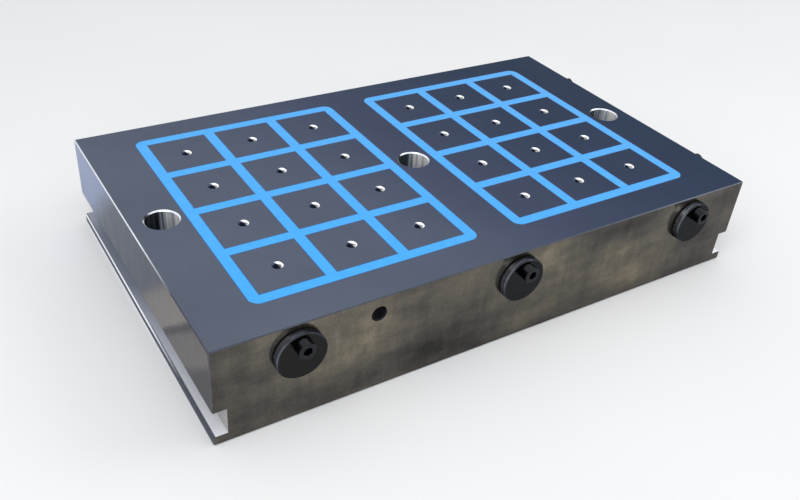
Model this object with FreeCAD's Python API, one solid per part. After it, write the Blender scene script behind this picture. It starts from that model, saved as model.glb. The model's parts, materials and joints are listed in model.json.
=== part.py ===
import FreeCAD, Part
import math
import os

# Electro-permanent magnetic chuck: a steel block with two fields of square poles.
# Millimetres. The origin is on the underside, midway between the pole fields and below the
# middle table bolt. +Z is up towards the work face, +X runs along the length and the long
# side with three stops faces -Y.

os.makedirs("parts", exist_ok=True)

# Block: its length and width follow from the pole fields and the walls around them
block_height = 83.0
front_wall = 30.0
back_wall = 25.0
end_wall = 42.5
web_width = 35.0
edge_break = 0.8

# Clamp grooves in the two short ends
groove_depth = 10.5
groove_height = 22.0
flange_thickness = 8.0
flange_edge_break = 1.5

# Pole fields
pole_size = 50.0
pole_gap = 10.0
pole_columns = 3
pole_rows = 4
pocket_corner_radius = 10.0
pocket_floor = 18.0

# Stack below each pole
core_height = 22.0
core_size = 42.0
core_bore_radius = 4.5
coil_gap = 2.0
coil_below_pole = 1.0
coil_corner_radius = 9.0
coil_core_clearance = 0.3

# Slab magnets in the gaps between poles, and the resin poured over them
slab_end_margin = 3.0
slab_above_core = 6.0
slab_clearance = 0.1
resin_depth = 6.0
resin_clearance = 0.05

# Threaded holes in the work face, one in each pole
pole_thread_core_radius = 3.4
pole_thread_depth = 18.0
pole_thread_chamfer = 1.1

# Screws that hold the poles down from the underside
pole_screw_radius = 4.0
pole_screw_engagement = 14.0
pole_screw_head_radius = 6.5
pole_screw_head_height = 8.0
pole_screw_head_recess = 9.0
pole_screw_head_clearance = 0.5
pole_screw_hole_radius = 4.5
pole_screw_tip_clearance = 1.0

# Counterbored holes for the bolts that hold the chuck on a machine table
table_bolt_from_end = 25.0
table_bolt_hole_radius = 8.75
table_bolt_recess_radius = 13.0
table_bolt_recess_depth = 40.0
table_bolt_chamfer = 1.0

# Round eccentric stops on the front side and on the right-hand end
stop_radius = 19.0
stop_thickness = 6.0
stop_rim_chamfer = 1.0
stop_eccentricity = 10.0
stop_axis_below_top = 13.0
stop_side_clearance = 0.1
stop_bore_clearance = 0.05
front_stop_from_end = 62.5
end_stop_from_pocket_edge = 32.0

# Screws on which the stops turn
stop_screw_radius = 4.0
stop_screw_engagement = 16.0
stop_screw_head_radius = 6.5
stop_screw_head_height = 8.0
stop_screw_head_chamfer = 0.6
stop_screw_socket_width = 6.0
stop_screw_socket_depth = 4.0
stop_screw_socket_sides = 6

# Clearance between a screw and the thread that it sits in
thread_clearance = 0.05
screw_tip_clearance = 2.0

# Threaded hole for a lifting eye in the front side
lifting_thread_core_radius = 5.1
lifting_thread_chamfer = 1.2
lifting_wall_behind = 5.0
lifting_hole_from_end = 124.5
lifting_hole_below_top = 14.0

# Wire ducts: from the receptacle into the right-hand pocket, and across the web to the other
wire_duct_radius = 8.0
cross_duct_radius = 5.0
cross_duct_above_floor = 0.5
duct_plug_length = 8.0
duct_plug_clearance = 0.05

# Receptacle for the switching lead on the back side
flange_size = 36.0
flange_depth = 4.0
flange_corner_radius = 3.0
gasket_thickness = 1.0
shell_radius = 14.0
shell_bore_radius = 12.0
shell_length = 16.0
shell_rim_chamfer = 0.6
insert_length = 12.0
insert_recess = 6.0
insert_clearance = 0.05
contact_count = 4
contact_radius = 1.5
contact_circle_radius = 6.5
contact_length = 16.0
receptacle_screw_spacing = 26.0
receptacle_screw_radius = 2.0
receptacle_screw_head_radius = 3.5
receptacle_screw_head_height = 2.4
receptacle_screw_length = 12.0

# Tools: their run-out past a face, and the angle of a drill's tip
overrun = 2.0
drill_tip_angle = 118.0

# Heights and places that follow from the sizes above
top = block_height
pole_pitch = pole_size + pole_gap
field_length = pole_columns * pole_pitch + pole_gap
field_width = pole_rows * pole_pitch + pole_gap
field_centre = (web_width + field_length) / 2
block_length = web_width + 2 * field_length + 2 * end_wall
pocket_edge = field_width / 2
end_face = block_length / 2
groove_wall = end_face - groove_depth
front_face = -pocket_edge - front_wall
back_face = pocket_edge + back_wall
block_width = back_face - front_face
core_top = pocket_floor + core_height
resin_bottom = top - resin_depth
slab_bottom = core_top + slab_above_core
slab_height = resin_bottom - slab_bottom
slab_length = pole_size - 2 * slab_end_margin
coil_size = pole_pitch - coil_gap
coil_height = core_height - coil_below_pole
stop_axis_height = top - stop_axis_below_top
wire_duct_height = pocket_floor + core_height / 2
wire_duct_x = field_centre + pole_pitch / 2
cross_duct_height = pocket_floor + cross_duct_radius + cross_duct_above_floor
cross_duct_y = (pole_rows / 2 - 1) * pole_pitch

ORIGIN = FreeCAD.Vector(0, 0, 0)
RIGHT = FreeCAD.Vector(1, 0, 0)
BACK = FreeCAD.Vector(0, 1, 0)
UP = FreeCAD.Vector(0, 0, 1)


def point(x, y, z):
    return FreeCAD.Vector(x, y, z)


def aim(shape, base, direction):
    """Moves a shape made along +Z so that it starts at base and runs along direction."""
    shape.Placement = FreeCAD.Placement(base, FreeCAD.Rotation(UP, direction))
    return shape


def turned(profile, base, direction):
    """Turns a closed profile of (radius, distance) points about a line through base."""
    corners = [point(radius, 0, distance) for radius, distance in profile]
    outline = Part.Face(Part.makePolygon(corners + corners[:1]))
    return aim(outline.revolve(ORIGIN, UP, 360), base, direction)


def plain_cylinder(radius, length, base, direction):
    return turned([(0, 0), (radius, 0), (radius, length), (0, length)], base, direction)


def level_block(centre_x, centre_y, bottom, size_x, size_y, height):
    corner = point(centre_x - size_x / 2, centre_y - size_y / 2, bottom)
    return Part.makeBox(size_x, size_y, height, corner)


def rounded_block(centre_x, centre_y, bottom, size_x, size_y, height, radius):
    """A level block whose four upright edges are rounded."""
    block = level_block(centre_x, centre_y, bottom, size_x, size_y, height)
    upright = [edge for edge in block.Edges if edge.BoundBox.ZLength > height / 2]
    return block.makeFillet(radius, upright)


def drilled_hole(radius, depth, chamfer, mouth, inward):
    """The cutter of a blind hole with a chamfered mouth and a drill point."""
    drill_point = radius / math.tan(math.radians(drill_tip_angle / 2))
    profile = [
        (0, -overrun),
        (radius + chamfer + overrun, -overrun),
        (radius, chamfer),
        (radius, depth),
        (0, depth + drill_point),
    ]
    return turned(profile, mouth, inward)


def field_centres():
    """The sides and the X of the centre line of the two pole fields."""
    return [("left", -field_centre), ("right", field_centre)]


def column_offset(column):
    return (column - (pole_columns - 1) / 2) * pole_pitch


def row_offset(row):
    return (row - (pole_rows - 1) / 2) * pole_pitch


def pole_places():
    """Every pole centre on the work face."""
    places = []
    for _, centre in field_centres():
        for row in range(pole_rows):
            for column in range(pole_columns):
                places.append((centre + column_offset(column), row_offset(row)))
    return places


def stop_places():
    """Each stop's name, the point where its axis meets the block, and the way that it faces."""
    places = []
    for name, side in (("left", -1), ("middle", 0), ("right", 1)):
        x = side * (end_face - front_stop_from_end)
        base = point(x, front_face, stop_axis_height)
        places.append(("stop_front_" + name, base, -BACK))
    for name, side in (("front", -1), ("back", 1)):
        y = side * (pocket_edge - end_stop_from_pocket_edge)
        base = point(end_face, y, stop_axis_height)
        places.append(("stop_end_" + name, base, RIGHT))
    return places


def table_bolt_places():
    return [(side * (end_face - table_bolt_from_end), 0) for side in (-1, 0, 1)]


def groove_cutter():
    """The clamp groove of the right-hand end, with its two outer edges broken."""
    roof = flange_thickness + groove_height
    outside = end_face + overrun
    profile = [
        (groove_wall, flange_thickness),
        (end_face - flange_edge_break, flange_thickness),
        (outside, flange_thickness - flange_edge_break - overrun),
        (outside, roof + edge_break + overrun),
        (end_face - edge_break, roof),
        (groove_wall, roof),
    ]
    start = front_face - overrun
    corners = [point(x, start, z) for x, z in profile]
    outline = Part.Face(Part.makePolygon(corners + corners[:1]))
    return outline.extrude(BACK * (block_width + 2 * overrun))


def table_bolt_cutter(x, y):
    """A counterbored through hole, from the work face down."""
    chamfer = table_bolt_chamfer
    profile = [
        (0, -overrun),
        (table_bolt_recess_radius + chamfer + overrun, -overrun),
        (table_bolt_recess_radius, chamfer),
        (table_bolt_recess_radius, table_bolt_recess_depth),
        (table_bolt_hole_radius, table_bolt_recess_depth),
        (table_bolt_hole_radius, block_height + overrun),
        (0, block_height + overrun),
    ]
    return turned(profile, point(x, y, top), -UP)


def pole_screw_cutter(x, y):
    """The stepped hole of a pole screw, from the underside up into the pocket."""
    recess_radius = pole_screw_head_radius + pole_screw_head_clearance
    profile = [
        (0, -overrun),
        (recess_radius, -overrun),
        (recess_radius, pole_screw_head_recess),
        (pole_screw_hole_radius, pole_screw_head_recess),
        (pole_screw_hole_radius, pocket_floor + overrun),
        (0, pocket_floor + overrun),
    ]
    return turned(profile, point(x, y, 0), UP)


def duct_cutters():
    """The wire duct behind the receptacle, and the cross duct drilled from the right-hand groove."""
    wire_duct = plain_cylinder(
        wire_duct_radius,
        back_wall + 2 * overrun,
        point(wire_duct_x, pocket_edge - overrun, wire_duct_height),
        BACK,
    )
    cross_duct = plain_cylinder(
        cross_duct_radius,
        groove_wall + web_width / 2 + 2 * overrun,
        point(-web_width / 2 - overrun, cross_duct_y, cross_duct_height),
        RIGHT,
    )
    return [wire_duct, cross_duct]


def receptacle_screw_places():
    """The four screw centres on the back side."""
    half = receptacle_screw_spacing / 2
    places = []
    for side_x in (-1, 1):
        for side_z in (-1, 1):
            x = wire_duct_x + side_x * half
            z = wire_duct_height + side_z * half
            places.append(point(x, back_face, z))
    return places


def chuck_body():
    """The milled block: grooves, pockets, bolt holes, threads and wire ducts."""
    middle = (front_face + back_face) / 2
    block = level_block(0, middle, 0, block_length, block_width, block_height)
    block = block.makeChamfer(edge_break, block.Edges)
    cutters = [groove_cutter(), groove_cutter().mirror(ORIGIN, RIGHT)]
    pocket_depth = block_height - pocket_floor
    for _, centre in field_centres():
        cutters.append(
            rounded_block(
                centre,
                0,
                pocket_floor,
                field_length,
                field_width,
                pocket_depth + overrun,
                pocket_corner_radius,
            )
        )
    for x, y in table_bolt_places():
        cutters.append(table_bolt_cutter(x, y))
    for x, y in pole_places():
        cutters.append(pole_screw_cutter(x, y))
    stop_hole_depth = stop_screw_engagement + screw_tip_clearance
    stop_hole_radius = stop_screw_radius + thread_clearance
    for _, base, outward in stop_places():
        cutters.append(drilled_hole(stop_hole_radius, stop_hole_depth, edge_break, base, -outward))
    lifting_x = lifting_hole_from_end - end_face
    cutters.append(
        drilled_hole(
            lifting_thread_core_radius,
            front_wall - lifting_wall_behind,
            lifting_thread_chamfer,
            point(lifting_x, front_face, top - lifting_hole_below_top),
            BACK,
        )
    )
    grip = receptacle_screw_length - flange_depth - gasket_thickness
    for base in receptacle_screw_places():
        hole_radius = receptacle_screw_radius + thread_clearance
        cutters.append(drilled_hole(hole_radius, grip + screw_tip_clearance, 0, base, -BACK))
    return block.cut(cutters + duct_cutters())


def pole(x, y):
    """A square pole piece, threaded at the top for the user and below for its own screw."""
    block = level_block(x, y, core_top, pole_size, pole_size, top - core_top)
    user_thread = drilled_hole(
        pole_thread_core_radius,
        pole_thread_depth,
        pole_thread_chamfer,
        point(x, y, top),
        -UP,
    )
    screw_thread = drilled_hole(
        pole_screw_radius + thread_clearance,
        pole_screw_engagement + pole_screw_tip_clearance,
        0,
        point(x, y, core_top),
        UP,
    )
    return block.cut([user_thread, screw_thread])


def magnet_core(x, y):
    """The switchable magnet under a pole, bored for the pole's screw."""
    block = level_block(x, y, pocket_floor, core_size, core_size, core_height)
    start = point(x, y, pocket_floor - overrun)
    bore = plain_cylinder(core_bore_radius, core_height + 2 * overrun, start, UP)
    return block.cut(bore)


def switching_coil(x, y):
    """The winding around a magnet core, as one solid."""
    winding = rounded_block(
        x, y, pocket_floor, coil_size, coil_size, coil_height, coil_corner_radius
    )
    opening_size = core_size + 2 * coil_core_clearance
    opening = level_block(
        x, y, pocket_floor - overrun, opening_size, opening_size, coil_height + 2 * overrun
    )
    return winding.cut(opening)


def slab_magnets(centre):
    """The slab magnets in every gap of one field, also along its edge."""
    thickness = pole_gap - 2 * slab_clearance
    slabs = []
    for row in range(pole_rows):
        for gap in range(pole_columns + 1):
            x = centre + column_offset(gap - 0.5)
            slabs.append(
                level_block(x, row_offset(row), slab_bottom, thickness, slab_length, slab_height)
            )
    for column in range(pole_columns):
        for gap in range(pole_rows + 1):
            x = centre + column_offset(column)
            y = row_offset(gap - 0.5)
            slabs.append(level_block(x, y, slab_bottom, slab_length, thickness, slab_height))
    return Part.makeCompound(slabs)


def resin_grid(centre):
    """The resin poured flush with the work face, around the poles of one field."""
    sheet = rounded_block(
        centre,
        0,
        resin_bottom,
        field_length - 2 * resin_clearance,
        field_width - 2 * resin_clearance,
        resin_depth,
        pocket_corner_radius - resin_clearance,
    )
    opening_size = pole_size + 2 * resin_clearance
    openings = []
    for row in range(pole_rows):
        for column in range(pole_columns):
            openings.append(
                level_block(
                    centre + column_offset(column),
                    row_offset(row),
                    resin_bottom - overrun,
                    opening_size,
                    opening_size,
                    resin_depth + 2 * overrun,
                )
            )
    return sheet.cut(openings)


def pole_screw(x, y):
    """A socket head screw that clamps pole and core to the pocket floor."""
    head_bottom = pole_screw_head_recess - pole_screw_head_height
    tip = core_top + pole_screw_engagement
    profile = [
        (0, head_bottom),
        (pole_screw_head_radius, head_bottom),
        (pole_screw_head_radius, pole_screw_head_recess),
        (pole_screw_radius, pole_screw_head_recess),
        (pole_screw_radius, tip),
        (0, tip),
    ]
    return turned(profile, point(x, y, 0), UP)


def eccentric_stop(base, outward):
    """A round stop whose screw hole lies off its centre, turned down below the work face."""
    near = stop_side_clearance
    far = near + stop_thickness
    rim = stop_radius - stop_rim_chamfer
    profile = [
        (0, near),
        (rim, near),
        (stop_radius, near + stop_rim_chamfer),
        (stop_radius, far - stop_rim_chamfer),
        (rim, far),
        (0, far),
    ]
    disc = turned(profile, base - UP * stop_eccentricity, outward)
    bore_radius = stop_screw_radius + stop_bore_clearance
    start = base - outward * overrun
    return disc.cut(plain_cylinder(bore_radius, far + 2 * overrun, start, outward))


def stop_screw(base, outward):
    """The socket head screw on which a stop turns."""
    seat = stop_thickness + 2 * stop_side_clearance
    head_end = seat + stop_screw_head_height
    chamfer = stop_screw_head_chamfer
    profile = [
        (0, -stop_screw_engagement),
        (stop_screw_radius, -stop_screw_engagement),
        (stop_screw_radius, seat),
        (stop_screw_head_radius, seat),
        (stop_screw_head_radius, head_end - chamfer),
        (stop_screw_head_radius - chamfer, head_end),
        (0, head_end),
    ]
    screw = turned(profile, base, outward)
    side_angle = 2 * math.pi / stop_screw_socket_sides
    corner_radius = stop_screw_socket_width / 2 / math.cos(side_angle / 2)
    corners = []
    for side in range(stop_screw_socket_sides):
        angle = side * side_angle
        corners.append(point(corner_radius * math.cos(angle), corner_radius * math.sin(angle), 0))
    outline = Part.Face(Part.makePolygon(corners + corners[:1]))
    socket = outline.extrude(UP * (stop_screw_socket_depth + overrun))
    aim(socket, base + outward * (head_end - stop_screw_socket_depth), outward)
    return screw.cut(socket)


def receptacle_gasket():
    """The flat seal between the flange and the back side."""
    gasket = rounded_block(0, 0, 0, flange_size, flange_size, gasket_thickness, flange_corner_radius)
    centre = point(wire_duct_x, back_face, wire_duct_height)
    aim(gasket, centre, BACK)
    wire_hole = plain_cylinder(
        wire_duct_radius, gasket_thickness + 2 * overrun, centre - BACK * overrun, BACK
    )
    holes = [wire_hole]
    for base in receptacle_screw_places():
        hole_radius = receptacle_screw_radius + thread_clearance
        length = gasket_thickness + 2 * overrun
        holes.append(plain_cylinder(hole_radius, length, base - BACK * overrun, BACK))
    return gasket.cut(holes)


def receptacle_shell():
    """The square flange with a round collar, bored through for the insert."""
    flange = rounded_block(0, 0, 0, flange_size, flange_size, flange_depth, flange_corner_radius)
    base = point(wire_duct_x, back_face + gasket_thickness, wire_duct_height)
    aim(flange, base, BACK)
    length = flange_depth + shell_length
    profile = [
        (0, flange_depth - overrun),
        (shell_radius, flange_depth - overrun),
        (shell_radius, length - shell_rim_chamfer),
        (shell_radius - shell_rim_chamfer, length),
        (0, length),
    ]
    collar = turned(profile, base, BACK)
    bore = plain_cylinder(shell_bore_radius, length + 2 * overrun, base - BACK * overrun, BACK)
    holes = [bore]
    for place in receptacle_screw_places():
        hole_radius = receptacle_screw_radius + thread_clearance
        start = place + BACK * (gasket_thickness - overrun)
        holes.append(plain_cylinder(hole_radius, flange_depth + 2 * overrun, start, BACK))
    return flange.fuse(collar).cut(holes)


def contact_places():
    """The contact centres, at the insert's inner end."""
    inner_end = gasket_thickness + flange_depth + shell_length - insert_recess - insert_length
    centre = point(wire_duct_x, back_face + inner_end, wire_duct_height)
    places = []
    for contact in range(contact_count):
        angle = math.radians(360 / contact_count * (contact + 0.5))
        across = RIGHT * (contact_circle_radius * math.cos(angle))
        upwards = UP * (contact_circle_radius * math.sin(angle))
        places.append(centre + across + upwards)
    return places


def receptacle_insert():
    """The insulating disc that holds the contacts."""
    inner_end = gasket_thickness + flange_depth + shell_length - insert_recess - insert_length
    base = point(wire_duct_x, back_face + inner_end, wire_duct_height)
    disc = plain_cylinder(shell_bore_radius - insert_clearance, insert_length, base, BACK)
    holes = []
    for place in contact_places():
        radius = contact_radius + insert_clearance
        start = place - BACK * overrun
        holes.append(plain_cylinder(radius, insert_length + 2 * overrun, start, BACK))
    return disc.cut(holes)


def receptacle_contacts():
    """The contact pins, standing out of the insert towards the plug."""
    pins = [plain_cylinder(contact_radius, contact_length, place, BACK) for place in contact_places()]
    return Part.makeCompound(pins)


def receptacle_screws():
    """The four screws through the flange."""
    seat = gasket_thickness + flange_depth
    head_end = seat + receptacle_screw_head_height
    tip = seat - receptacle_screw_length
    profile = [
        (0, tip),
        (receptacle_screw_radius, tip),
        (receptacle_screw_radius, seat),
        (receptacle_screw_head_radius, seat),
        (receptacle_screw_head_radius, head_end),
        (0, head_end),
    ]
    screws = [turned(profile, base, BACK) for base in receptacle_screw_places()]
    return Part.makeCompound(screws)


def duct_plug():
    """The plug that closes the cross duct, flush with the groove wall."""
    start = point(groove_wall - duct_plug_length, cross_duct_y, cross_duct_height)
    return plain_cylinder(cross_duct_radius - duct_plug_clearance, duct_plug_length, start, RIGHT)


def save(name, shape):
    shape.exportStep("parts/" + name + ".step")


def save_field(side, centre):
    """Writes the resin, slab magnets, poles, cores and coils of one field."""
    save("resin_" + side, resin_grid(centre))
    save("slab_magnets_" + side, slab_magnets(centre))
    for row in range(pole_rows):
        row_name = side + "_row_" + str(row + 1)
        y = row_offset(row)
        columns = [centre + column_offset(column) for column in range(pole_columns)]
        for column, x in enumerate(columns):
            save("pole_" + row_name + "_" + str(column + 1), pole(x, y))
        save("magnet_cores_" + row_name, Part.makeCompound([magnet_core(x, y) for x in columns]))
        save("coils_" + row_name, Part.makeCompound([switching_coil(x, y) for x in columns]))


save("chuck_body", chuck_body())
for field_side, field_x in field_centres():
    save_field(field_side, field_x)
save("pole_screws", Part.makeCompound([pole_screw(x, y) for x, y in pole_places()]))
for stop_name, stop_base, stop_outward in stop_places():
    save(stop_name, eccentric_stop(stop_base, stop_outward))
save(
    "stop_screws",
    Part.makeCompound([stop_screw(base, outward) for _, base, outward in stop_places()]),
)
save("receptacle_gasket", receptacle_gasket())
save("receptacle_shell", receptacle_shell())
save("receptacle_insert", receptacle_insert())
save("receptacle_contacts", receptacle_contacts())
save("receptacle_screws", receptacle_screws())
save("duct_plug", duct_plug())
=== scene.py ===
"""Looks of an electro-permanent magnetic chuck: finishes, threads, screws, studio and camera."""

import json
import logging
import math
from collections.abc import Callable
from dataclasses import dataclass
from enum import Enum

import bpy
from mathutils import Matrix, Vector


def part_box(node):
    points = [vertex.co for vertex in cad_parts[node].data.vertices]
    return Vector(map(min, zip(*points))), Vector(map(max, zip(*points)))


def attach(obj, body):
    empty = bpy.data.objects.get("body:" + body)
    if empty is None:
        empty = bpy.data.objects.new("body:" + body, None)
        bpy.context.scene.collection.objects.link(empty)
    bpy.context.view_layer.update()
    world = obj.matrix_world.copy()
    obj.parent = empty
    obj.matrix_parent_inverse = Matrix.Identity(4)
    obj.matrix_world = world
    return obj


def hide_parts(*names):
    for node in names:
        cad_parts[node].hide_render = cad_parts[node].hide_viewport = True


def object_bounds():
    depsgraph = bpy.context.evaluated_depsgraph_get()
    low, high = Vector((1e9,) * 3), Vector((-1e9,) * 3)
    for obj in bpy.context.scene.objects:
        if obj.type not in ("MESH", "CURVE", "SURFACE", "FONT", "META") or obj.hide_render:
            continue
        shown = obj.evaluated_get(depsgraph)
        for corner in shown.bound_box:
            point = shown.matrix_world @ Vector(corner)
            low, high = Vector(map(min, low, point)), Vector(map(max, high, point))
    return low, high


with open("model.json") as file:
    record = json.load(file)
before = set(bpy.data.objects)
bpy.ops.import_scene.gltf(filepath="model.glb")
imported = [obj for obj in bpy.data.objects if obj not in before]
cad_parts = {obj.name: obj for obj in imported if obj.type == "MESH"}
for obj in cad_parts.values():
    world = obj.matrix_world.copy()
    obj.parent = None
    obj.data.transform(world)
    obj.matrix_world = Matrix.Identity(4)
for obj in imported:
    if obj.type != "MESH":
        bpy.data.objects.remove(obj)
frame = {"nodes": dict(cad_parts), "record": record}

CAD_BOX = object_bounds()
MILLIMETRE = 0.001
# How far a cutting tool stands past the face that it cuts, and how far joined bars overlap
TOOL_REACH_MM = 1.0
OVERLAP_MM = 0.1
# Short names of the types that most functions take or give
Piece = bpy.types.Object
Shader = bpy.types.Node
Socket = bpy.types.NodeSocket
Tree = bpy.types.NodeTree
# Settings of a node that mixes two colours, which are its inputs 6 and 7
COLOURS = {"output": 2, "data_type": "RGBA"}

logger = logging.getLogger("chuck")


class Axis(Enum):
    """The way that a turned piece points, away from its seat."""

    UP = (0, 0, 1)
    DOWN = (0, 0, -1)
    FRONT = (0, -1, 0)
    BACK = (0, 1, 0)
    RIGHT = (1, 0, 0)


class Edge(Enum):
    """What is done to the end of a bar, as the number of cuts across it."""

    CHAMFERED = 1
    ROUNDED = 5


def linear(hex_colour: str) -> tuple[float, float, float, float]:
    """Turn an sRGB hex colour into the linear values that a shader takes.

    Args:
        hex_colour: Six hex digits after a hash sign.

    Returns:
        Red, green, blue and alpha.
    """
    channels = []
    for start in (1, 3, 5):
        value = int(hex_colour[start:start + 2], 16) / 255
        channels.append(value / 12.92 if value <= 0.04045 else ((value + 0.055) / 1.055) ** 2.4)
    return (channels[0], channels[1], channels[2], 1.0)


def feed(tree: Tree, node: Shader, inputs: dict) -> None:
    """Link or set the inputs of a node.

    Args:
        tree: The node tree that holds the node.
        node: The node.
        inputs: Sockets, values or sRGB hex colours, by the name or number of the input.
    """
    for name, value in inputs.items():
        if isinstance(value, Socket):
            tree.links.new(value, node.inputs[name])
        else:
            node.inputs[name].default_value = linear(value) if isinstance(value, str) else value


def add_node(
    tree: Tree,
    kind: str,
    inputs: dict,
    output: int | str = 0,
    stops: tuple[tuple[float, str], ...] = (),
    **settings: object,
) -> Socket:
    """Add a node with its settings, values and links.

    Args:
        tree: The node tree that gets the node.
        kind: The node's type name, without the word that all shader nodes start with.
        inputs: Sockets, values or sRGB hex colours, by the name or number of the input.
        output: The name or number of the output to give back.
        stops: Places and sRGB hex colours of a colour ramp.
        **settings: Properties of the node itself.

    Returns:
        The chosen output of the new node.
    """
    node = tree.nodes.new(f"ShaderNode{kind}")
    for name, value in settings.items():
        setattr(node, name, value)
    feed(tree, node, inputs)
    for number, (position, colour) in enumerate(stops):
        elements = node.color_ramp.elements
        element = elements[number] if number < 2 else elements.new(position)
        element.position = position
        element.color = linear(colour)
    return node.outputs[output]


def combined(tree: Tree, operation: str, sockets: list[Socket]) -> Socket:
    """Combine several values into one, such as their product or the largest of them.

    Args:
        tree: The node tree.
        operation: What is done to each two of them.
        sockets: The values.

    Returns:
        The result.
    """
    total = sockets[0]
    for socket in sockets[1:]:
        total = add_node(tree, "Math", {0: total, 1: socket}, operation=operation)
    return total


def weighted(tree: Tree, terms: list[tuple[Socket, float]], start: Socket | float = 0.0) -> Socket:
    """Add up several values, each times its share.

    Args:
        tree: The node tree.
        terms: The values and their shares.
        start: What they are added to.

    Returns:
        The sum.
    """
    total = start
    for socket, share in terms:
        total = add_node(tree, "Math", {0: socket, 1: share, 2: total}, operation="MULTIPLY_ADD")
    return total


def deselect_all() -> None:
    """Leave edit mode and select nothing."""
    if bpy.context.object and bpy.context.object.mode != "OBJECT":
        bpy.ops.object.mode_set(mode="OBJECT")
    bpy.ops.object.select_all(action="DESELECT")


def select_only(piece: Piece) -> None:
    """Select one piece and make it the active one.

    Args:
        piece: The piece.
    """
    deselect_all()
    bpy.context.view_layer.objects.active = piece
    piece.select_set(True)


def open_mesh(piece: Piece, action: str) -> None:
    """Open one piece in edit mode.

    Args:
        piece: The mesh object.
        action: SELECT or DESELECT, for its whole mesh.
    """
    select_only(piece)
    bpy.ops.object.mode_set(mode="EDIT")
    bpy.ops.mesh.select_all(action=action)


def select_where(piece: Piece, kind: str, wanted: Callable[[Vector], bool]) -> None:
    """Open a piece with the points, or the edges with both ends, selected that pass a test.

    Args:
        piece: The mesh object.
        kind: VERT or EDGE.
        wanted: The test on a point's place.
    """
    open_mesh(piece, "DESELECT")
    bpy.ops.object.mode_set(mode="OBJECT")
    points = piece.data.vertices
    if kind == "VERT":
        for point in points:
            point.select = wanted(point.co)
    else:
        for line in piece.data.edges:
            line.select = all(wanted(points[index].co) for index in line.vertices)
    bpy.ops.object.mode_set(mode="EDIT")
    bpy.ops.mesh.select_mode(type=kind)


def apply_modifier(piece: Piece, kind: str, **settings: object) -> None:
    """Add a modifier to a piece and apply it at once.

    Args:
        piece: The mesh object.
        kind: The modifier's type.
        **settings: Properties of the modifier.
    """
    modifier = piece.modifiers.new(kind.lower(), kind)
    for name, value in settings.items():
        setattr(modifier, name, value)
    select_only(piece)
    bpy.ops.object.modifier_apply(modifier=modifier.name)


def cut(piece: Piece, tools: list[Piece]) -> None:
    """Cut tools out of a piece, one after the other, and delete them.

    Args:
        piece: The closed mesh to cut.
        tools: The closed meshes that are taken out of it.
    """
    for tool in tools:
        apply_modifier(piece, "BOOLEAN", object=tool, operation="DIFFERENCE", solver="EXACT")
        bpy.data.objects.remove(tool)


def merged_copy(node_name: str, shift: Vector) -> Piece:
    """Copy a CAD node's mesh as one merged surface, moved by a shift.

    Args:
        node_name: The node in the frame.
        shift: How far the copy moves, in metres.

    Returns:
        The copy, with its points merged.
    """
    copy = bpy.data.objects.new(f"{node_name}_copy", frame["nodes"][node_name].data.copy())
    bpy.context.scene.collection.objects.link(copy)
    copy.data.transform(Matrix.Translation(shift))
    open_mesh(copy, "SELECT")
    bpy.ops.mesh.remove_doubles(threshold=1e-6)
    bpy.ops.mesh.normals_make_consistent(inside=False)
    bpy.ops.mesh.customdata_custom_splitnormals_clear()
    deselect_all()
    return copy


def placed_copy(model: Piece, name: str, base: Vector, axis: Axis) -> Piece:
    """Copy a piece modelled at the origin along +Z, with its place put into its own mesh.

    Args:
        model: The piece to copy.
        name: The copy's name.
        base: Where the copy's origin goes, in metres.
        axis: The way that the copy's +Z points.

    Returns:
        The copy, unturned and unscaled at the origin.
    """
    copy = bpy.data.objects.new(name, model.data.copy())
    bpy.context.scene.collection.objects.link(copy)
    turn = Vector((0, 0, 1)).rotation_difference(Vector(axis.value)).to_matrix().to_4x4()
    if axis is Axis.DOWN:
        turn = Matrix.Rotation(math.pi, 4, "X")
    copy.data.transform(Matrix.Translation(base) @ turn)
    return copy


def set_copies(model: Piece, name: str, places: list[tuple[Vector, Axis]]) -> Piece:
    """Set a copy of a model in each place, join them and delete the model.

    Args:
        model: The piece to copy, at the origin along +Z.
        name: The name of the result.
        places: Where each copy's origin goes and the way that it points.

    Returns:
        The joined copies.
    """
    copies = [
        placed_copy(model, f"{name}_{number}", base, axis)
        for number, (base, axis) in enumerate(places)
    ]
    bpy.data.objects.remove(model)
    return joined(copies, name)


def joined(parts: list[Piece], name: str) -> Piece:
    """Join several objects into one.

    Args:
        parts: The objects to join, the first of which stays.
        name: The name of the result.

    Returns:
        The joined object.
    """
    deselect_all()
    for part in parts:
        part.select_set(True)
    bpy.context.view_layer.objects.active = parts[0]
    bpy.ops.object.join()
    parts[0].name = name
    return parts[0]


def smooth(piece: Piece, degrees: float = 32.0) -> None:
    """Shade a piece smooth across edges flatter than an angle."""
    select_only(piece)
    bpy.ops.object.shade_smooth_by_angle(angle=math.radians(degrees))


def bar(
    radius_mm: float,
    start_mm: float,
    end_mm: float,
    sides: int = 48,
    end_radius_mm: float | None = None,
) -> Piece:
    """Add a closed bar or cone on the Z axis, the start of a piece or of a cutting tool.

    Args:
        radius_mm: The radius over its corners.
        start_mm: The height of its lower end.
        end_mm: The height of its upper end.
        sides: The number of its sides.
        end_radius_mm: The radius at the upper end, where it is a cone.

    Returns:
        The bar.
    """
    deselect_all()
    bpy.ops.mesh.primitive_cone_add(
        vertices=sides,
        radius1=radius_mm * MILLIMETRE,
        radius2=(radius_mm if end_radius_mm is None else end_radius_mm) * MILLIMETRE,
        depth=(end_mm - start_mm) * MILLIMETRE,
        location=(0, 0, (start_mm + end_mm) / 2 * MILLIMETRE),
    )
    piece = bpy.context.object
    bpy.ops.object.transform_apply(location=True, rotation=True, scale=True)
    return piece


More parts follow.
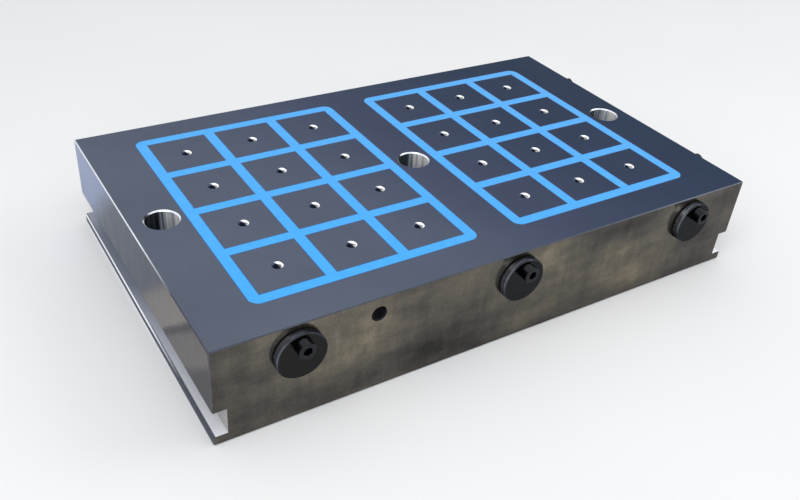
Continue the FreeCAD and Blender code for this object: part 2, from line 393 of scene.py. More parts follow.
def bevel_end(piece: Piece, height_mm: float, offset_mm: float, edge: Edge) -> None:
    """Bevel the rim of a bar at one height.

    Args:
        piece: The bar.
        height_mm: The height of the rim.
        offset_mm: How far the bevel reaches.
        edge: A flat chamfer or a round.
    """
    select_where(piece, "EDGE", lambda point: abs(point.z - height_mm * MILLIMETRE) < 1e-6)
    bpy.ops.mesh.bevel(offset=offset_mm * MILLIMETRE, segments=edge.value, affect="EDGES")
    deselect_all()


def hexagon_tools(width_mm: float, floor_mm: float, top_mm: float) -> list[Piece]:
    """Make the tools that cut a hexagon socket with a drill point at its floor.

    Args:
        width_mm: The width across the flats.
        floor_mm: The height of the floor.
        top_mm: The height of the face that is cut.

    Returns:
        The hexagon and the drill point.
    """
    corner = width_mm / math.sqrt(3)
    # The drill that goes in before the hexagon is cut just reaches its flats
    drill_radius, drill_point = corner * 0.87, 1.0
    hexagon = bar(corner, floor_mm, top_mm + TOOL_REACH_MM, sides=6)
    point = bar(0.0, floor_mm - drill_point, floor_mm + OVERLAP_MM, end_radius_mm=drill_radius)
    return [hexagon, point]


@dataclass(frozen=True)
class Spot:
    """The point that is shaded: its place and the way that its face points."""

    place: Socket
    x: Socket
    y: Socket
    z: Socket
    nx: Socket
    ny: Socket
    nz: Socket

    @classmethod
    def read(cls, tree: Tree) -> "Spot":
        """Add the nodes that read a point's place and its face's normal.

        Args:
            tree: The material's node tree.

        Returns:
            The point.
        """
        place = add_node(tree, "TexCoord", {}, output="Object")
        normal = add_node(tree, "NewGeometry", {}, output="True Normal")
        places = add_node(tree, "SeparateXYZ", {0: place}).node.outputs
        ways = add_node(tree, "SeparateXYZ", {0: normal}).node.outputs
        return cls(place, *places, *ways)


@dataclass(frozen=True)
class Grain:
    """A cloudy pattern of one real size, which may be drawn out along an axis."""

    size_mm: float
    stretch: tuple[float, float, float] = (1.0, 1.0, 1.0)
    detail: float = 2.0
    roughness: float = 0.5

    def add(self, tree: Tree, place: Socket) -> Socket:
        """Add the pattern to a material and give it, from 0 to 1 around 0.5."""
        inputs = {
            "Vector": add_node(tree, "Mapping", {"Vector": place, "Scale": self.stretch}),
            "Scale": 1 / (self.size_mm * MILLIMETRE),
            "Detail": self.detail,
            "Roughness": self.roughness,
        }
        return add_node(tree, "TexNoise", inputs)


@dataclass(frozen=True)
class Patch:
    """A soft round patch on the front, darker or lighter than the rest."""

    across_mm: float
    up_mm: float
    reach_mm: float
    rise_mm: float
    change: float

    def add(self, tree: Tree, place: Socket) -> Socket:
        """Add the patch to a material.

        Args:
            tree: The material's node tree.
            place: Where the point lies.

        Returns:
            1 in the middle of the patch, and 0 outside it.
        """
        inputs = {
            "Vector": place,
            "Location": (-self.across_mm / self.reach_mm, 0.0, -self.up_mm / self.rise_mm),
            "Scale": (1 / (self.reach_mm * MILLIMETRE), 0.0, 1 / (self.rise_mm * MILLIMETRE)),
        }
        around = add_node(tree, "Mapping", inputs)
        return add_node(tree, "TexGradient", {0: around}, output=1, gradient_type="SPHERICAL")


class Finish:
    """A named finish that makes its material once."""

    name: str

    def build(self, tree: Tree, shader: Shader) -> None:
        """Set the shader's sockets and link the patterns to it."""
        raise NotImplementedError

    def material(self) -> bpy.types.Material:
        """Give the material of this finish.

        Returns:
            The material, made on the first call.
        """
        title = f"{self.name}_finish"
        found = bpy.data.materials.get(title)
        if found:
            return found
        made = bpy.data.materials.new(title)
        made.use_nodes = True
        self.build(made.node_tree, made.node_tree.nodes["Principled BSDF"])
        return made


def dress(piece: Piece, finish: Finish) -> None:
    """Give every face of a piece one finish."""
    piece.data.materials.clear()
    piece.data.materials.append(finish.material())


def log_piece(piece: Piece) -> None:
    """Log a finished piece with the number of its faces."""
    logger.info("%s: %d faces", piece.name, len(piece.data.polygons))


@dataclass(frozen=True)
class GroundSteel(Finish):
    """Mild steel, surface ground.

    The grinding wheel leaves a satin sheen with very fine lines along the length. The work face is
    cool, with a painted reflection that darkens it towards the right. The milled sides are glossy
    and carry brown blotches of oil and upright streaks, and the left-hand end carries slanting bands
    of painted reflection. Painted highlights brighten the chamfers at the left-hand end, the rims of
    the bolt holes, the flange, the groove walls and the right-hand side of the bores; painted shade
    darkens the left-hand side of the bores and the inside of the lifting hole.
    """

    name: str = "ground_steel"
    # The work face's colour is a painted reflection, light at the front left and dark blue at the
    # right and back
    top_reflection_stops: tuple = (
        (0.0, "#5f6777"), (0.3, "#576072"), (0.5, "#475067"), (0.75, "#36425a"), (1.0, "#2b3a52"),
    )
    top_skew: float = 0.3
    front_stops: tuple = (
        (0.3, "#3a3937"), (0.42, "#504d49"), (0.5, "#5d5a54"), (0.58, "#6c675c"), (0.7, "#8a8170"),
    )
    # Soft round patches of the front, a little darker or lighter than the rest
    front_patches: tuple[Patch, ...] = (
        Patch(-90.0, 25.0, 70.0, 40.0, -0.16),
        Patch(120.0, 28.0, 70.0, 45.0, 0.08),
        Patch(215.0, 30.0, 50.0, 50.0, -0.07),
        Patch(-30.0, 45.0, 60.0, 40.0, 0.05),
    )
    # The bands on the left-hand end are painted reflection of the surroundings and slant down towards
    # the front
    left_reflection_stops: tuple = (
        (0.0, "#45413f"), (0.127, "#4f4b48"), (0.147, "#857e78"), (0.217, "#7b746e"),
        (0.223, "#464140"), (0.237, "#464140"), (0.243, "#a2998f"), (0.32, "#989087"),
        (0.347, "#5f636d"), (0.57, "#666c79"), (0.64, "#abb9de"), (1.0, "#bfcef4"),
    )
    band_slant: tuple[float, float] = (0.64, 0.77)
    band_reach_mm: tuple[float, float] = (-144.0, 156.0)
    band_waver_mm: float = 12.0
    # The bores' painted shade on the left-hand wall and painted highlight on the right
    bore_shade_and_highlight_stops: tuple = ((0.0, "#14161b"), (0.35, "#484e5a"), (0.6, "#aeb6c4"), (0.85, "#ffffff"))
    other: str = "#6b6e76"
    other_share: float = 0.4
    # The inside of the lifting hole is painted near black, as shade
    lifting_hole_shade: str = "#1f2023"
    # The flange top and the groove walls are painted light, as a highlight that grows towards the
    # front
    flange_back: str = "#8e94a4"
    flange_front: str = "#f4f8ff"
    flange_side: str = "#343a54"
    groove_back: str = "#8a90a2"
    groove_front: str = "#aca8a3"
    # The painted highlight of the chamfers that face the light
    painted_edge_highlight: str = "#f2f6ff"
    dull_edge: str = "#50545e"
    grazing_tint: str = "#c8cacf"
    lifting_hole_mm: tuple[float, float, float] = (-125.5, 0.0, 69.0)
    groove_mm: float = 10.5
    groove_top_mm: float = 30.0
    skin_mm: float = 1.2
    # Blotches of oil and handling, a few centimetres wide and longer than they are high
    blotches: Grain = Grain(60.0, (0.6, 0.6, 1.3), 6.0, 0.6)
    # Upright streaks where coolant ran down the sides
    streaks: Grain = Grain(9.0, (1.0, 1.0, 0.2), 5.0, 0.65)
    streak_share: float = 0.22
    # Rust specks and small scratches
    specks: Grain = Grain(1.6)
    # Grinding lines, drawn coarser than the real grit so that they show at all
    grinding: Grain = Grain(0.7, (0.01, 1.0, 1.0))
    # Streaks of painted highlight down the wall of a bore
    gleam_streaks: Grain = Grain(3.0, (1.0, 1.0, 0.03), 3.0)
    gleam_streak_share: float = -2.2
    work_face_roughness: float = 0.33
    side_roughness: float = 0.2
    metallic: float = 0.95
    recess_metallic: float = 0.3
    bump_mm: float = 0.01
    # How much darker and lighter each pattern makes the tint, and how it changes the roughness
    grinding_tones: tuple[float, float] = (0.985, 1.015)
    blotch_tones: tuple[float, float] = (0.92, 1.08)
    speck_tones: tuple[float, float] = (0.88, 1.12)
    streak_gloss: tuple[float, float] = (-0.04, 0.07)
    bore_gleam: tuple[float, float] = (-0.8, -2.3)

    def masks(self, tree: Tree, spot: Spot) -> dict[str, Socket]:
        """Tell the faces of the block apart.

        Args:
            tree: The material's node tree.
            spot: The point that is shaded.

        Returns:
            Masks by name, each 1 on its own faces and 0 elsewhere.
        """
        low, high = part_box("chuck_body")
        left, front, right = low[0] / MILLIMETRE, low[1] / MILLIMETRE, high[0] / MILLIMETRE
        skin, groove = self.skin_mm, self.groove_mm
        across = add_node(tree, "Mapping", {"Vector": spot.place, "Scale": (1.0, 0.0, 1.0)})
        from_hole = add_node(
            tree,
            "VectorMath",
            {0: across, 1: Vector(self.lifting_hole_mm) * MILLIMETRE},
            output="Value",
            operation="DISTANCE",
        )
        sideways = add_node(tree, "Math", {0: spot.nx}, operation="ABSOLUTE")
        # Each mask is 0 before its first value and 1 from its second value on
        ways = {
            "up": (spot.nz, 0.8, 0.9),
            "upright": (spot.nz, 0.9, 0.8),
            "front": (spot.ny, -0.8, -0.9),
            "left": (spot.nx, -0.8, -0.9),
            "sideways": (sideways, 0.8, 0.9),
        }
        places_mm = {
            "low": (spot.z, self.groove_top_mm + 1.0, self.groove_top_mm),
            "at_front": (spot.y, front + skin, front + skin / 2),
            "in_front": (spot.y, front + skin / 20, front + skin / 10),
            "near_front": (spot.y, front + 35.0, front + 30.0),
            "at_left": (spot.x, left + skin, left + skin / 2),
            "off_left": (spot.x, left + skin, left + 2 * skin),
            "in_left": (spot.x, left + groove + skin / 2, left + groove + skin),
            "off_right": (spot.x, right - skin, right - 2 * skin),
            "in_right": (spot.x, right - groove - skin / 2, right - groove - skin),
            "rearward": (spot.y, -90.0, -20.0),
            "forward": (spot.y, 30.0, -140.0),
            "mid_front": (spot.y, -30.0, -25.0),
            "mid_back": (spot.y, 30.0, 25.0),
            "by_hole": (from_hole, 8.5, 8.0),
        }
        products = {
            "is_flange": ("up", "low"),
            "is_front": ("front", "at_front"),
            "is_left": ("left", "at_left"),
            "is_flange_side": ("left", "at_left", "low"),
            "is_groove_wall": ("sideways", "low", "off_left", "off_right"),
            "is_bore": ("upright", "mid_front", "mid_back", "in_left", "in_right"),
            "is_tapped_hole": ("in_front", "near_front", "by_hole"),
            "is_left_edge": ("at_left", "rearward"),
            "is_rim": ("mid_front", "mid_back", "off_left", "off_right"),
        }
        masks = {}
        for table, unit in ((ways, 1.0), (places_mm, MILLIMETRE)):
            for name, (value, start, end) in table.items():
                limits = {"Value": value, "From Min": start * unit, "From Max": end * unit}
                masks[name] = add_node(tree, "MapRange", limits)
        for name, factors in products.items():
            masks[name] = combined(tree, "MULTIPLY", [masks[factor] for factor in factors])
        flat = combined(tree, "ADD", [spot.nx, spot.ny])
        slope = combined(tree, "MULTIPLY", [flat, spot.nz])
        slope = add_node(tree, "Math", {0: slope}, operation="ABSOLUTE")
        masks["is_chamfer"] = add_node(
            tree, "MapRange", {"Value": slope, "From Min": 0.15, "From Max": 0.4}
        )
        return masks

    def top_reflection_tint(self, tree: Tree, spot: Spot) -> Socket:
        """Paint a reflection on the work face that darkens it towards the right.

        Args:
            tree: The material's node tree.
            spot: The point that is shaded.

        Returns:
            The colour.
        """
        low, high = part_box("chuck_body")
        along = weighted(tree, [(spot.y, self.top_skew)], spot.x)
        limits = {"Value": along, "From Min": low[0], "From Max": high[0]}
        along = add_node(tree, "MapRange", limits)
        return add_node(tree, "ValToRGB", {0: along}, stops=self.top_reflection_stops)

    def front_tint(self, tree: Tree, spot: Spot, blotches: Socket, streaks: Socket) -> Socket:
        """Blotch the front with oil, streaks and patches.

        Args:
            tree: The material's node tree.
            spot: The point that is shaded.
            blotches: The pattern of the blotches.
            streaks: The pattern of the streaks.

        Returns:
            The colour.
        """
        tone = add_node(tree, "Mix", {0: self.streak_share, 2: blotches, 3: streaks})
        terms = [(patch.add(tree, spot.place), patch.change) for patch in self.front_patches]
        tone = weighted(tree, terms, tone)
        return add_node(tree, "ValToRGB", {0: tone}, stops=self.front_stops)

    def left_reflection_tint(self, tree: Tree, spot: Spot, specks: Socket) -> Socket:
        """Draw the slanting bands of painted reflection on the left-hand end.

        Args:
            tree: The material's node tree.
            spot: The point that is shaded.
            specks: The pattern that makes the bands waver.

        Returns:
            The colour.
        """
        by_depth, by_height = self.band_slant
        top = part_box("chuck_body")[1][2]
        terms = [(spot.y, by_depth), (spot.z, by_height), (specks, self.band_waver_mm * MILLIMETRE)]
        slant = weighted(tree, terms, -by_height * top)
        start, end = (limit * MILLIMETRE for limit in self.band_reach_mm)
        slant = add_node(tree, "MapRange", {"Value": slant, "From Min": start, "From Max": end})
        return add_node(tree, "ValToRGB", {0: slant}, stops=self.left_reflection_stops)

    def bore_tint(self, tree: Tree, spot: Spot) -> Socket:
        """Paint a highlight, in streaks, on the right-hand side of a bore, and shade on its left-hand
        side.

        Args:
            tree: The material's node tree.
            spot: The point that is shaded.

        Returns:
            The colour.
        """
        gleam_streaks = self.gleam_streaks.add(tree, spot.place)
        gleam = weighted(tree, [(gleam_streaks, self.gleam_streak_share)], spot.nx)
        start, end = self.bore_gleam
        gleam = add_node(tree, "MapRange", {"Value": gleam, "From Min": start, "From Max": end})
        return add_node(tree, "ValToRGB", {0: gleam}, stops=self.bore_shade_and_highlight_stops)

    def build(self, tree: Tree, shader: Shader) -> None:
        """Mix the tints of the faces by their place and the way they point.

        Args:
            tree: The material's node tree.
            shader: The material's shader.
        """
        spot = Spot.read(tree)
        masks = self.masks(tree, spot)
        blotches = self.blotches.add(tree, spot.place)
        streaks = self.streaks.add(tree, spot.place)
        specks = self.specks.add(tree, spot.place)
        grinding = self.grinding.add(tree, spot.place)

        front = self.front_tint(tree, spot, blotches, streaks)
        # Painted highlight on the chamfers at the left-hand end, towards the back, and on the rims of
        # the bolt holes
        bright = combined(tree, "MAXIMUM", [masks["is_left_edge"], masks["is_rim"]])
        edge = add_node(tree, "Mix", {0: bright, 6: self.dull_edge, 7: self.painted_edge_highlight}, **COLOURS)
        # The flange and the walls of the recess above it get a painted highlight, brighter near the
        # front end
        flange, groove = (
            add_node(tree, "Mix", {0: masks["forward"], 6: dim, 7: lit}, **COLOURS)
            for dim, lit in (
                (self.flange_back, self.flange_front),
                (self.groove_back, self.groove_front),
            )
        )
        tint = add_node(tree, "Mix", {0: self.other_share, 6: self.other, 7: front}, **COLOURS)
        for mask, colour in (
            ("up", self.top_reflection_tint(tree, spot)),
            ("is_flange", flange),
            ("is_front", front),
            ("is_left", self.left_reflection_tint(tree, spot, specks)),
            ("is_flange_side", self.flange_side),
            ("is_groove_wall", groove),
            ("is_bore", self.bore_tint(tree, spot)),
            ("is_chamfer", edge),
            ("is_tapped_hole", self.lifting_hole_shade),
        ):
            tint = add_node(tree, "Mix", {0: masks[mask], 6: tint, 7: colour}, **COLOURS)

        # Each tone is a little uneven, less so on the ground work face
        mottle = add_node(tree, "Mix", {0: masks["up"], 2: specks, 3: 0.5})
        middle = {"From Min": 0.3, "From Max": 0.7}
        for pattern, least, most in (
            (grinding, *self.grinding_tones),
            (blotches, *self.blotch_tones),
            (mottle, *self.speck_tones),
        ):
            limits = {"Value": pattern, "To Min": least, "To Max": most}
            shade = add_node(tree, "MapRange", limits | middle)
            tint = add_node(tree, "VectorMath", {0: tint, 3: shade}, operation="SCALE")
        least, most = self.streak_gloss
        limits = {"Value": streaks, "To Min": least, "To Max": most}
        streaking = add_node(tree, "MapRange", limits | middle)
        limits = {"To Min": self.side_roughness, "To Max": self.work_face_roughness}
        gloss = add_node(tree, "MapRange", {"Value": masks["up"]} | limits)
        # Recesses are lit by their own walls, so they are drawn less mirror-like
        recess = combined(
            tree, "MAXIMUM", [masks["is_flange"], masks["is_groove_wall"], masks["is_bore"]]
        )
        limits = {"To Min": self.metallic, "To Max": self.recess_metallic}
        depth = self.bump_mm * MILLIMETRE
        feed(tree, shader, {
            "Base Color": tint,
            "Roughness": combined(tree, "ADD", [gloss, streaking]),
            "Normal": add_node(
                tree, "Bump", {"Height": grinding, "Strength": 0.1, "Distance": depth}
            ),
            "Metallic": add_node(tree, "MapRange", {"Value": recess} | limits),
            "Specular Tint": self.grazing_tint,
        })


@dataclass(frozen=True)
class TappedSteel(Finish):
    """Steel that a tap has just cut, with a painted highlight at the mouth and down the right-hand
    side, and painted shade deeper down.
    """

    name: str = "tapped_steel_painted_light"
    # From painted shade, deep down and on the left and back, to painted highlight at the mouth and on
    # the right
    stops: tuple = ((0.0, "#222e48"), (0.35, "#3a4a68"), (0.6, "#e9edf3"), (1.0, "#ffffff"))
    roughness: float = 0.3
    metallic: float = 0.3
    gleam_streaks: Grain = Grain(1.2)
    gleam_depth_mm: float = 4.5
    gleam_way: tuple[float, float] = (0.82, -0.57)
    gleam_limits: tuple[float, float] = (0.55, 0.1)
    gleam_streak_share: float = -0.3

    def build(self, tree: Tree, shader: Shader) -> None:
        """Paint light and shade on the wall by its depth and the way it faces, broken up by streaks.

        Args:
            tree: The material's node tree.
            shader: The material's shader.
        """
        spot = Spot.read(tree)
        deepening = 1 / (self.gleam_depth_mm * MILLIMETRE)
        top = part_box("pole_left_row_1_1")[1][2]
        to_right, to_back = self.gleam_way
        terms = [
            (spot.nx, to_right),
            (spot.ny, to_back),
            (spot.z, -deepening),
            (self.gleam_streaks.add(tree, spot.place), self.gleam_streak_share),
        ]
        facing = weighted(tree, terms, top * deepening)
        start, end = self.gleam_limits
        facing = add_node(tree, "MapRange", {"Value": facing, "From Min": start, "From Max": end})
        feed(tree, shader, {
            "Base Color": add_node(tree, "ValToRGB", {0: facing}, stops=self.stops),
            "Roughness": self.roughness,
            "Metallic": self.metallic,
        })


@dataclass(frozen=True)
class CastResin(Finish):
    """Sky-blue casting resin, ground flush with the poles.

    The cut surface is satin and slightly mottled, and it is darker in a hairline where it meets steel.
    """

    name: str = "blue_resin"
    face: str = "#36a9f4"
    deep: str = "#2098ea"
    hairline: str = "#1c5796"
    mottle: Grain = Grain(6.0, detail=4.0)
    hairline_mm: float = 0.9
    roughness: float = 0.36
    pole_pitch_mm: float = 60.0
    pole_size_mm: float = 50.0
    field_centre_mm: float = 112.5

    def build(self, tree: Tree, shader: Shader) -> None:
        """Mottle the blue slightly and draw the hairline at the edges of the poles.

        Args:
            tree: The material's node tree.
            shader: The material's shader.
        """
        spot = Spot.read(tree)
        half_pitch = self.pole_pitch_mm / 2 * MILLIMETRE
        centre = self.field_centre_mm * MILLIMETRE
        hairline = self.hairline_mm * MILLIMETRE
        side = add_node(tree, "Math", {0: spot.x}, operation="ABSOLUTE")
        side = add_node(tree, "Math", {0: side, 1: centre}, operation="SUBTRACT")
        row = add_node(tree, "Math", {0: spot.y, 1: half_pitch}, operation="SUBTRACT")
        away = [
            add_node(tree, "Math", {0: value, 1: half_pitch}, operation="PINGPONG")
            for value in (side, row)
        ]
        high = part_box("resin_right")[1]
        past = []
        for value, limit in ((side, high[0] - centre), (spot.y, high[1])):
            reach = add_node(tree, "Math", {0: value}, operation="ABSOLUTE")
            past.append(add_node(tree, "Math", {0: reach, 1: limit}, operation="SUBTRACT"))
        edge = self.pole_size_mm / 2 * MILLIMETRE
        lines = []
        for distance, start, end in (
            (combined(tree, "MAXIMUM", away), edge + hairline, edge + hairline / 2),
            (combined(tree, "MAXIMUM", past), -hairline, -hairline / 2),
        ):
            limits = {"Value": distance, "From Min": start, "From Max": end}
            lines.append(add_node(tree, "MapRange", limits))
        line = combined(tree, "MAXIMUM", lines)
        mottle = self.mottle.add(tree, spot.place)
        tint = add_node(tree, "Mix", {0: mottle, 6: self.deep, 7: self.face}, **COLOURS)
        tint = add_node(tree, "Mix", {0: line, 6: tint, 7: self.hairline}, **COLOURS)
        feed(tree, shader, {"Base Color": tint, "Roughness": self.roughness})


@dataclass(frozen=True)
class PlainFinish(Finish):
    """A finish of one colour with a fine mottle in tint and gloss."""

    name: str
    light: str
    dark: str
    metallic: float
    roughness: float
    grain_mm: float
    bump_mm: float = 0.0
    oil_film: float = 0.0
    grazing_tint: str = "#ffffff"
    mottle_roughness: float = 0.08
    oil_roughness: float = 0.12

    def tint(self, tree: Tree, spot: Spot, mottle: Socket) -> Socket:
        """Mottle the colour of the point that is shaded."""
        return add_node(tree, "Mix", {0: mottle, 6: self.dark, 7: self.light}, **COLOURS)

    def build(self, tree: Tree, shader: Shader) -> None:
        """Mottle the tint and the gloss at the finish's own grain.

        Args:
            tree: The material's node tree.
            shader: The material's shader.
        """
        spot = Spot.read(tree)
        mottle = Grain(self.grain_mm, detail=4.0).add(tree, spot.place)
        limits = {
            "To Min": self.roughness - self.mottle_roughness,
            "To Max": self.roughness + self.mottle_roughness,
        }
        feed(tree, shader, {
            "Base Color": self.tint(tree, spot, mottle),
            "Roughness": add_node(tree, "MapRange", {"Value": mottle} | limits),
            "Metallic": self.metallic,
            "Specular Tint": self.grazing_tint,
            "Coat Weight": self.oil_film,
            "Coat Roughness": self.oil_roughness,
        })
        if self.bump_mm:
            inputs = {"Height": mottle, "Strength": 0.3, "Distance": self.bump_mm * MILLIMETRE}
            feed(tree, shader, {"Normal": add_node(tree, "Bump", inputs)})


@dataclass(frozen=True)
class StopWithPaintedSheen(PlainFinish):
    """The blackened steel of a round stop, with painted sheen on its side and rim and a painted glint
    where they face up and to the left.
    """

    # Painted sheen on the side, painted highlight on the rim chamfer, and a painted glint where they
    # face up and to the left
    side_tint: str = "#4c525e"
    chamfer_tint: str = "#3c414c"
    glint_tint: str = "#a4acbc"
    glint_way: tuple[float, float] = (-0.94, 0.35)

    def tint(self, tree: Tree, spot: Spot, mottle: Socket) -> Socket:
        """Paint sheen on the side and on the chamfer, which points halfway out, and a glint where both
        face up and to the left.

        Args:
            tree: The material's node tree.
            spot: The point that is shaded.
            mottle: The pattern of the mottle, which breaks the painted sheen up.

        Returns:
            The colour.
        """
        end_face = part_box("chuck_body")[1][0] - MILLIMETRE / 2
        on_end = add_node(tree, "Math", {0: spot.x, 1: end_face}, operation="GREATER_THAN")
        out = add_node(tree, "Mix", {0: on_end, 2: spot.ny, 3: spot.nx})
        out = add_node(tree, "Math", {0: out}, operation="ABSOLUTE")
        to_left, upwards = self.glint_way
        glint = weighted(tree, [(spot.nx, to_left), (spot.nz, upwards)])
        tint = super().tint(tree, spot, mottle)
        for mask, colour in (
            (
                add_node(tree, "MapRange", {"Value": out, "From Min": 0.5, "From Max": 0.2}),
                self.side_tint,
            ),
            (
                add_node(tree, "Math", {0: out, 1: 0.707, 2: 0.15}, operation="COMPARE"),
                self.chamfer_tint,
            ),
            (
                add_node(tree, "MapRange", {"Value": glint, "From Min": 0.55, "From Max": 0.95}),
                self.glint_tint,
            ),
        ):
            painted_sheen = combined(tree, "MULTIPLY", [mask, mottle])
            tint = add_node(tree, "Mix", {0: painted_sheen, 6: tint, 7: colour}, **COLOURS)
        return tint


STEEL = GroundSteel()
TAPPED_STEEL = TappedSteel()
RESIN = CastResin()
# Turned and heat-blackened steel: near black, with a thin film of oil
BLACK_STOP = StopWithPaintedSheen(
    "black_oxide_stop", light="#20201e", dark="#171718", metallic=0.95, roughness=0.27,
    grain_mm=5.0, bump_mm=0.02, oil_film=0.2, grazing_tint="#aeb2ba",
)
# Forged and heat-blackened steel: blue-black and smoother than the stops, with more oil
BLACK_SCREW = PlainFinish(
    "black_oxide_screw", light="#1e2027", dark="#15161a", metallic=0.95, roughness=0.22,
    grain_mm=2.0, bump_mm=0.01, oil_film=0.4, grazing_tint="#b4b8c2",
)
# Cast aluminium-nickel-cobalt: grey with an open grain
CAST_MAGNET = PlainFinish("cast_magnet", "#6d6e70", "#56575a", 0.8, 0.5, 4.0, 0.05)
# Nickel plating on sintered slabs: bright and even
PLATED_MAGNET = PlainFinish("plated_magnet", "#c9c9c6", "#b9b9b8", 1.0, 0.25, 8.0)
# Enamelled copper wire wound in even layers: reddish brown and glossy
COPPER_WINDING = PlainFinish("enamelled_copper", "#9a4a24", "#7c3517", 0.6, 0.35, 1.5, 0.1)
# Die-cast aluminium: pale grey and slightly rough
CAST_ALUMINIUM = PlainFinish("cast_aluminium", "#b2b5b9", "#a0a3a8", 0.8, 0.42, 2.0, 0.03)
# Moulded nitrile rubber: black and dull
SEAL_RUBBER = PlainFinish("seal_rubber", "#222222", "#181818", 0.0, 0.7, 1.0, 0.03)
# Moulded thermoset: near black with a low sheen
MOULDED_INSULATOR = PlainFinish("insulator", "#2a2a2c", "#202022", 0.0, 0.45, 1.0, 0.02)
# Turned brass: warm yellow and bright
TURNED_BRASS = PlainFinish("contact_brass", "#cfa75a", "#b98f43", 1.0, 0.28, 1.0)
# Zinc plating on small screws: light grey with a faint blue cast
ZINC_PLATING = PlainFinish("zinc_screw", "#b6bac0", "#a2a7ae", 0.9, 0.32, 1.0)

FINISHES: tuple[Finish, ...] = (
    STEEL, RESIN, CAST_MAGNET, PLATED_MAGNET, COPPER_WINDING, BLACK_STOP, BLACK_SCREW,
    CAST_ALUMINIUM, SEAL_RUBBER, MOULDED_INSULATOR, TURNED_BRASS, ZINC_PLATING,
)
# A slot has its finish's name, apart from the poles, which are ground in one go with the block
FINISH_OF_SLOT = {finish.name: finish for finish in FINISHES} | {"pole_steel": STEEL}


@dataclass
class CarriedNodes:
    """The solids of the frame that keep their shape and get a finish."""

    record: dict

    def dress(self) -> None:
        """Give each node the finish of its material slot."""
        for part in self.record["subparts"]:
            dress(frame["nodes"][part["node"]], FINISH_OF_SLOT[part["material_slot"]])
        logger.info("dressed %d nodes", len(self.record["subparts"]))


@dataclass(frozen=True)
class Thread:
    """One coil with a tapered section, as a ridge on a bar or as a tool that cuts a groove."""

    wall_radius_mm: float
    peak_radius_mm: float
    pitch_mm: float
    length_mm: float
    steps: int = 24
    wall_share: float = 0.86
    peak_share: float = 0.22
    sunk_mm: float = 0.12

    def coil(self) -> Piece:
        """Sweep the section round the Z axis.

        Returns:
            The closed coil, from height 0 to its length.
        """
        outward = 1 if self.peak_radius_mm > self.wall_radius_mm else -1
        wall = (self.wall_radius_mm - outward * self.sunk_mm) * MILLIMETRE
        peak = self.peak_radius_mm * MILLIMETRE
        pitch = self.pitch_mm * MILLIMETRE
        foot = pitch * self.wall_share
        deselect_all()
        bpy.ops.mesh.primitive_plane_add(size=1.0)
        section = bpy.context.object
        bpy.ops.object.mode_set(mode="EDIT")
        bpy.ops.transform.rotate(value=math.pi / 2, orient_axis="X", center_override=(0, 0, 0))
        bpy.ops.transform.resize(value=(abs(peak - wall), 1.0, foot), center_override=(0, 0, 0))
        bpy.ops.transform.translate(value=((wall + peak) / 2, 0, foot / 2))
        bpy.ops.mesh.delete(type="ONLY_FACE")
        select_where(section, "VERT", lambda point: abs(point.x - peak) < abs(point.x - wall))
        bpy.ops.transform.resize(
            value=(1.0, 1.0, self.peak_share / self.wall_share), center_override=(0, 0, foot / 2)
        )
        apply_modifier(
            section,
            "SCREW",
            axis="Z",
            angle=math.tau,
            screw_offset=pitch,
            iterations=int(self.length_mm / self.pitch_mm - self.wall_share),
            steps=self.steps,
            render_steps=self.steps,
            use_smooth_shade=False,
        )
        open_mesh(section, "SELECT")
        bpy.ops.mesh.remove_doubles(threshold=1e-7)
        bpy.ops.mesh.fill_holes(sides=4)
        bpy.ops.mesh.select_all(action="SELECT")
        bpy.ops.mesh.normals_make_consistent(inside=False)
        deselect_all()
        return section


